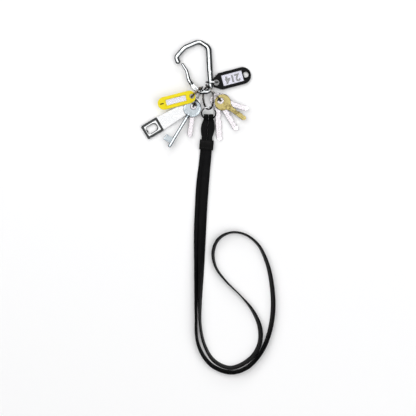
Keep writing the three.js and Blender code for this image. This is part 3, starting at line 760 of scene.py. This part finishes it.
# %% Pin-tumbler keys
BOW_OFFSET = 3.6
KEY_HOLE = 4.4
KEY_THICKNESS = 2
CUTS = (1.6, 2.6, 1.2, 2.2, 1.8)


def blade_section(half, thickness):
    """A flat bar's section with a milled groove on each face."""
    tall = thickness / 2
    low, high, depth, edge = -half * 0.62, -half * 0.22, thickness * 0.28, 0.45
    top = [(half - edge, tall), (high + 0.15, tall), (high, tall - depth), (low, tall - depth), (low - 0.15, tall),
           (-half + edge, tall), (-half, tall - edge)]
    under = [(-half, -tall + edge), (-half + edge, -tall), (half * 0.05, -tall), (half * 0.12, -tall + depth),
             (half * 0.4, -tall + depth), (half * 0.47, -tall), (half - edge, -tall), (half, -tall + edge)]
    return [(half, tall - edge), *top, *under]


def cut_height(x, first, tip, half, cuts):
    """How high the notched edge stands at x."""
    step = (tip - first) / len(cuts)
    if x <= first:
        return half
    if x >= tip:
        return half - 0.4
    index = min(int((x - first) / step), len(cuts) - 1)
    away = abs((x - first) / step - index - 0.5)
    depth = cuts[index]
    return half - depth + (depth - 0.4) * min(max((away - 0.15) / 0.35, 0), 1)


def tumbler_key(name, turn, bow, length, blade, material, cuts=CUTS, rim=0.28):
    place, up = pivot(name + "_swing")
    placed = stand(place, heading(turn), up)
    half = blade / 2
    shoulder = BOW_OFFSET + math.sqrt(bow ** 2 - (half + 1) ** 2)
    lean = math.degrees(math.atan2(half + 1, shoulder - BOW_OFFSET))
    key_mesh = bmesh.new()
    outline = arc(BOW_OFFSET, 0, bow, lean, 360 - lean, 60)
    outline += [(shoulder + 2, -half - 1), (shoulder + 2, half + 1)]
    add_plate(key_mesh, outline, [ring_points(0, 0, KEY_HOLE)], KEY_THICKNESS - 0.05, 0.75, placed=placed)
    for side in (1, -1):
        add_plate(key_mesh, ring_points(BOW_OFFSET, 0, bow - 0.5, 60), [ring_points(BOW_OFFSET, 0, bow - 1.5, 60)],
                  rim, 0.1, level=side * KEY_THICKNESS / 2, segments=2, placed=placed)
        add_plate(key_mesh, ring_points(0, 0, KEY_HOLE + 1.1, 40), [ring_points(0, 0, KEY_HOLE + 0.1, 40)],
                  rim, 0.1, level=side * KEY_THICKNESS / 2, segments=2, placed=placed)
    start, tip = shoulder + 1.2, length - half * 0.8
    first = shoulder + 4.5
    places = [start + (length - start) * k / 110 for k in range(111)]
    spots = [Vector((x, 0, 0)) for x in places]
    stations = [station(spot * MM, Vector((1, 0, 0)), Vector((0, 0, 1))) for spot in spots]
    old = set(key_mesh.verts)
    add_sweep(key_mesh, blade_section(half, KEY_THICKNESS - 0.1), stations)
    blade_verts = [vert for vert in key_mesh.verts if vert not in old]
    knee = half * 0.5 * MM
    for vert in blade_verts:
        x, y = vert.co.x / MM, vert.co.y
        if y > knee:
            top = cut_height(x, first, tip, half, cuts) * MM
            vert.co.y = knee * min(1, top / (half * MM)) + (y - knee) * max(top - knee, 0.05 * MM) / (half * MM - knee)
        if x > tip:
            vert.co.y *= 1 - 0.75 * ((x - tip) / (length - tip)) ** 1.4
            vert.co.z *= 1 - 0.35 * (x - tip) / (length - tip)
    bmesh.ops.transform(key_mesh, matrix=placed, verts=blade_verts)
    return finish_piece(name + "_cut", key_mesh, material, name, name, smooth_angle=30)


tumbler_key("nickel_key_long", -86.8, 10, 57.6, 9, nickel, (1.2, 1.8, 0.8, 1.5, 1.1))
tumbler_key("nickel_key_middle", -59.2, 10.5, 47.7, 8.6, nickel)
tumbler_key("nickel_key_short", -16.7, 10, 39.7, 8, nickel, (1.1, 0.7, 1.4, 0.8))
tumbler_key("brass_key", -35.9, 11, 42, 7.4, brass, (0.7, 1.1, 0.6, 0.9))
tumbler_key("small_key", -98.1, 9.5, 43.8, 7.6, nickel, (1.3, 0.9, 1.5, 0.8, 1.1))

# %% [markdown]
# The lever key is older work: a round shaft with a turned collar, a flat ring of a bow and a bit with
# ward cuts that sticks out to one side.

# %% Lever key
lever_place, lever_up = pivot("lever_key_swing")
lever = stand(lever_place, heading(-121.2), lever_up)
lever_mesh = bmesh.new()
add_plate(lever_mesh, ring_points(BOW_OFFSET, 0, 12, 72), [ring_points(0, 0, 4, 40)], 2.6, 1.1, placed=lever)
for side in (1, -1):
    add_plate(lever_mesh, ring_points(BOW_OFFSET, 0, 10.4, 64), [ring_points(BOW_OFFSET, 0, 9.4, 64)], 0.3, 0.12,
              level=side * 1.32, segments=2, placed=lever)
neck = BOW_OFFSET + 10.5
shaft = [(0, neck - 2), (2.2, neck - 1.4), (2.4, neck - 0.2), (3.0, neck), (3.2, neck + 0.5), (3.0, neck + 1.0), (2.5, neck + 1.3),
         (2.5, neck + 1.7), (3.0, neck + 2.0), (3.1, neck + 2.4), (2.9, neck + 2.9), (2.2, neck + 3.4), (2.1, neck + 4.4), (2.1, 63.0),
         (1.9, 63.7), (1.4, 64.1), (0, 64.2)]
add_turned(lever_mesh, shaft, lever @ Matrix.Rotation(math.radians(90), 4, "Y"), 28)
BIT_LOW, BIT_HIGH = 64.2 - 5 - 8.5, 64.2 - 5
bit = [(BIT_LOW, -0.5), (BIT_LOW, -12), (BIT_LOW + 3.3, -12), (BIT_LOW + 3.3, -10.4), (BIT_LOW + 4.3, -10.4),
       (BIT_LOW + 4.3, -12), (BIT_HIGH, -12), (BIT_HIGH, -6.2), (BIT_HIGH - 1, -6.2), (BIT_HIGH - 1, -5.4),
       (BIT_HIGH, -5.4), (BIT_HIGH, -0.5)]
add_plate(lever_mesh, bit, [], 2.4, 0.4, placed=lever)
finish_piece("lever_key_forged", lever_mesh, lever_nickel, "lever_key", "lever_key")

# %% [markdown]
# ## Bottle opener
# Stamped from one strip of bright steel that widens to a square head. The head's edge is ground to a
# darker bevelled frame, and the window has a short lip that hooks under a cap.

# %% Opener
opener_place, opener_up = pivot("bottle_opener_swing")
opener = stand(opener_place, heading(-149.3), opener_up)
NEAR, FAR, LENGTH = 6.75, 10.5, 80
opener_mesh = bmesh.new()
outline = arc(0, 0, NEAR, 90, 270, 24) + arc(LENGTH - 1.8, -FAR + 1.8, 1.8, -90, 0, 6)
outline += arc(LENGTH - 1.8, FAR - 1.8, 1.8, 0, 90, 6)
END = LENGTH - 4.6
window = arc(END - 10, 0, 5, 270, 90, 16) + arc(END - 2.5, 2.5, 2.5, 90, 0, 6)
window += [(END, 2.2), (END - 1.2, 1.3), (END - 1.2, -1.3), (END, -2.2)] + arc(END - 2.5, -2.5, 2.5, 0, -90, 6)
add_plate(opener_mesh, outline, [window, ring_points(0, 0, 4.7)], 2, 0.8, placed=opener)
finish_piece("stamped_opener", opener_mesh, bright_steel, "bottle_opener", "bottle_opener")

frame_mesh = bmesh.new()
outer = rounded_box(25, 2 * FAR - 0.5, 1.6, 5, LENGTH - 12.75, 0)
inner = rounded_box(18.6, 2 * FAR - 6.8, 1.0, 5, LENGTH - 12.75, 0)
add_plate(frame_mesh, outer, [inner], 2.7, 0.8, placed=opener)
lip = rounded_box(16.6, 11.6, 4.5, 6, END - 7.6, 0)
add_plate(frame_mesh, lip, [window], 2.4, 0.2, placed=opener)
finish_piece("opener_head_frame", frame_mesh, dark_bevel, "bottle_opener")

# %% [markdown]
# ## Label tags
# Each tag is three snapped-together things: a moulded shell with a pocket, a slip of card and a clear
# sheet over it. A raised lip round the window holds the sheet in.

# %% Tags
def tag(prefix, turn, length, width, back, hole, thickness, label, label_from, taper, free, material):
    place, up = pivot(prefix + "_swing")
    placed = stand(place, heading(turn), up)
    half, far = width / 2, length - back
    if taper:
        outline = [(-back, half - taper), (-back, taper - half), (taper - 1, -half)]
        outline += arc(far - half, 0, half, -90, 90, 36) + [(taper - 1, half)]
    else:
        outline = arc(half - back, 0, half, 90, 270, 36) + arc(far - half, 0, half, -90, 90, 36)
    long, tall = label
    middle = label_from + long / 2
    depth = 1.65
    top = thickness / 2
    shell = bmesh.new()
    pocket = rounded_box(long + 0.6, tall + 0.6, 0.5, 3, middle, 0)
    add_plate(shell, outline, [ring_points(0, 0, hole, 32), pocket, free], thickness, 0.5, placed=placed)
    floor_level = -top + (thickness - depth) / 2
    add_plate(shell, rounded_box(long + 1.2, tall + 1.2, 0.5, 3, middle, 0), [], thickness - depth - 0.1, 0,
              level=floor_level + 0.02, placed=placed)
    add_plate(shell, rounded_box(long + 3.2, tall + 2.9, 1.2, 5, middle, 0), [pocket], 0.5, 0.18,
              level=top + 0.12, segments=2, placed=placed)
    finish_piece(prefix + "_moulding", shell, material, prefix, prefix + "_shell")
    slip = bmesh.new()
    add_plate(slip, rounded_box(long, tall, 0.3, 2, middle, 0), [], 0.25, 0.05, level=top - 1.225, placed=placed)
    finish_piece(prefix + "_card", slip, label_card, prefix, prefix + "_label")
    sheet = bmesh.new()
    add_plate(sheet, rounded_box(long, tall, 0.4, 2, middle, 0), [], 0.8, 0.12, level=top - 0.4, placed=placed)
    finish_piece(prefix + "_clear", sheet, clear, prefix, prefix + "_window")
    return placed @ Matrix.Translation(mm(middle, 0, top - 1.07))


YELLOW_FAR = 52 - 4.8
yellow_slot = rounded_box(5, 1.5, 0.5, 3, YELLOW_FAR - 8.5 * 0.65, 0)
tag("yellow_tag", 194, 52, 17, 4.8, 3.2, 2.6, (27.4, 7.4), 8.2, 0, yellow_slot, yellow_plastic)
# Painted shadow: a thin black plate closes the bottom of the yellow tag's slot, so the slot shows dark where the lit
# table would show through.
slot_shadow_mesh = bmesh.new()
yellow_up = pivot("yellow_tag_swing")
yellow_place = stand(yellow_up[0], heading(194), yellow_up[1])
add_plate(slot_shadow_mesh, rounded_box(4.9, 1.4, 0.45, 3, YELLOW_FAR - 8.5 * 0.65, 0), [], 1.2, 0.1, level=-0.6,
          placed=yellow_place)
finish_piece("yellow_tag_slot_liner", slot_shadow_mesh, black_plastic, "yellow_tag")
BLACK_FAR = 53 - 5.1
black_hole = ring_points(BLACK_FAR - 11.5 * 0.6, 0, 3.9)
card_place = tag("black_tag", 15, 53, 23, 5.1, 4.0, 3, (28, 14.5), 8.5, 6.5, black_hole, black_plastic)

# %% [markdown]
# The card in the dark tag carries a plain locker number in a stock typeface, which reads from the
# tag's other end, as it does when the tag has been turned round on its ring.

# %% Locker number
text_data = bpy.data.curves.new("locker_number", "FONT")
text_data.body = "214"
text_data.size = 0.0135
text_data.extrude = 0.00004
text_data.align_x = "CENTER"
text_data.align_y = "CENTER"
text_data.offset = 0.0006
text_object = bpy.data.objects.new("text", text_data)
scene.collection.objects.link(text_object)
bpy.context.view_layer.update()
number_data = bpy.data.meshes.new_from_object(text_object.evaluated_get(bpy.context.evaluated_depsgraph_get()))
bpy.data.objects.remove(text_object)
number_data.transform(card_place @ Matrix.Rotation(math.pi, 4, "Z"))
number_data.materials.clear()
number_data.materials.append(ink)
number = bpy.data.objects.new("locker_number", number_data)
scene.collection.objects.link(number)
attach(number, "black_tag")

# %% [markdown]
# ## Where the lanyard meets its ring
# The strap's ends are folded over the ring and run back under a sewn keeper. Each fold is one strip
# swept round the ring in side view, narrower at the ring, and stitched near its outer edge.

# %% Folds
FOLD_WIDTH, FOLD_NARROW, FOLD_THICKNESS, FOLD_END = 7.5, 6.4, 1.6, -104
FOLD_SPREAD, SPREAD_UNTIL = 2.4, 0.72
KEEPER_X, KEEPER_Y, KEEPER_LEAN = -2.7, -106.7, math.radians(5)
RING_HEIGHT = 3.6 + RING_RADIUS * math.sin(TILT)
LAYER = 1.35 + FOLD_THICKNESS / 2
NEAR_DEPTH = RING_RADIUS * 0.28
BEND = -64.3 - RING_RADIUS * math.cos(TILT)
IN_KEEPER = 1.3 + 0.3 + FOLD_THICKNESS / 2


def on_ring_plane(depth, offset):
    return (-64.3 - depth * math.cos(TILT) - offset * math.sin(TILT),
            RING_HEIGHT - depth * math.sin(TILT) + offset * math.cos(TILT))


fold_line = rounded_line([
    (FOLD_END, IN_KEEPER), (BEND + 1, 3.6 - 1 - 0.3 - FOLD_THICKNESS / 2), on_ring_plane(NEAR_DEPTH, -LAYER),
    on_ring_plane(NEAR_DEPTH, LAYER), (BEND - 1.6, 3.6 + LAYER + 0.2),
    (FOLD_END, IN_KEEPER + FOLD_THICKNESS + 1.2),
], [3, LAYER - 0.05, LAYER - 0.05, 3], 0.6)


def fold_spot(side, y, z, across=0.0):
    """A place on a fold, and how narrow the fold is there."""
    share = min(max((BEND - y) / (BEND - FOLD_END), 0), 1)
    narrow = FOLD_NARROW / FOLD_WIDTH + (1 - FOLD_NARROW / FOLD_WIDTH) * share
    narrow += FOLD_SPREAD / FOLD_WIDTH * math.sin(math.pi * min(share / SPREAD_UNTIL, 1))
    middle = 0.2 + (KEEPER_X - 0.2) * share
    return Vector((middle + (side * (FOLD_WIDTH / 2 + 0.15) + across) * narrow, y, z)), narrow


def add_stitch(bm, place, along, up, length=2.1, width=0.5):
    """One thread stitch, sunk half its depth into the leather."""
    made = bmesh.ops.create_uvsphere(bm, u_segments=10, v_segments=6, radius=1.0)
    sized = Matrix.Diagonal((length / 2 * MM, width / 2 * MM, width * 0.4 * MM, 1))
    bmesh.ops.transform(bm, matrix=stand(place, along, up) @ sized, verts=made["verts"])


for side, node in ((-1, "strap_fold_left"), (1, "strap_fold_right")):
    spots = [fold_spot(side, point.x, point.y) for point in fold_line]
    stations = []
    for k, (spot, narrow) in enumerate(spots):
        ahead = (spots[min(k + 1, len(spots) - 1)][0] - spots[max(k - 1, 0)][0]).normalized()
        up = ahead.cross(Vector((1, 0, 0)))
        stations.append(Matrix.Translation(zero) @ station(spot * MM, ahead, up, narrow, 1))
    fold_mesh = bmesh.new()
    add_sweep(fold_mesh, strap_section(FOLD_WIDTH, FOLD_THICKNESS), stations)
    finish_piece(node.replace("strap", "leather"), fold_mesh, black_leather, "lanyard", node,
                 weighted=False)
    stitch_mesh = bmesh.new()
    for k in range(9):
        y = BEND - 3 - k * 2.9
        z = 3.6 + LAYER + 0.2 + (IN_KEEPER + FOLD_THICKNESS + 1.2 - 3.6 - LAYER - 0.2) * (BEND - 1.6 - y) / (
            BEND - 1.6 - FOLD_END)
        spot, narrow = fold_spot(side, y, z + FOLD_THICKNESS / 2, side * (FOLD_WIDTH / 2 - 1.0))
        add_stitch(stitch_mesh, zero + spot * MM, Vector((0, 1, 0)), Vector((0, 0.03, 1)), 2.1)
    finish_piece(node.replace("strap", "stitches"), stitch_mesh, thread, "lanyard")

# %% Keeper
KEEPER_INNER = (16.4, 5.1)
KEEPER_WALL, KEEPER_LENGTH = 1.3, 13.5
keeper_place = Matrix.Translation(zero + mm(KEEPER_X, KEEPER_Y, KEEPER_WALL + KEEPER_INNER[1] / 2))
keeper_place = keeper_place @ Matrix.Rotation(-KEEPER_LEAN, 4, "Z")
keeper_mesh = bmesh.new()
band = rounded_box(KEEPER_INNER[0] + KEEPER_WALL, KEEPER_INNER[1] + KEEPER_WALL, 1.6, 6)
band_points = even_points([Vector((x, 0, z)) for x, z in band + band[:1]], 0.8)[:-1]
count = len(band_points)
band_stations = []
for k, point in enumerate(band_points):
    ahead = band_points[(k + 1) % count] - band_points[k - 1]
    band_stations.append(keeper_place @ station(point * MM, ahead, Vector((0, 1, 0)).cross(ahead)))
add_sweep(keeper_mesh, strap_section(KEEPER_LENGTH, KEEPER_WALL), band_stations, closed=True)
finish_piece("leather_keeper", keeper_mesh, keeper_leather, "keeper", "strap_keeper", weighted=False)
stitch_mesh = bmesh.new()
for end in (-1, 1):
    for k in range(6):
        place = mm((k - 2.5) * 2.7, end * (KEEPER_LENGTH / 2 - 2.6), KEEPER_INNER[1] / 2 + KEEPER_WALL)
        add_stitch(stitch_mesh, keeper_place @ place, keeper_place.to_3x3() @ Vector((1, 0, 0)), Vector((0, 0, 1)))
finish_piece("keeper_stitches", stitch_mesh, thread, "keeper")

# %% [markdown]
# ## The table
# A plain pale sheet, larger than the view, so that nothing but soft shadows shows round the pieces.

# %% Floor
floor_mesh = bmesh.new()
bmesh.ops.create_grid(floor_mesh, x_segments=1, y_segments=1, size=3)
floor_data = bpy.data.meshes.new("floor")
floor_mesh.to_mesh(floor_data)
floor_mesh.free()
floor = bpy.data.objects.new("floor", floor_data)
scene.collection.objects.link(floor)
pale = Finish("pale_table", base_color=(0.93, 0.93, 0.93, 1), roughness=0.9)
pale.bump(pale.noise(0.02, 2), 0.0001)
floor_data.materials.append(pale.material)
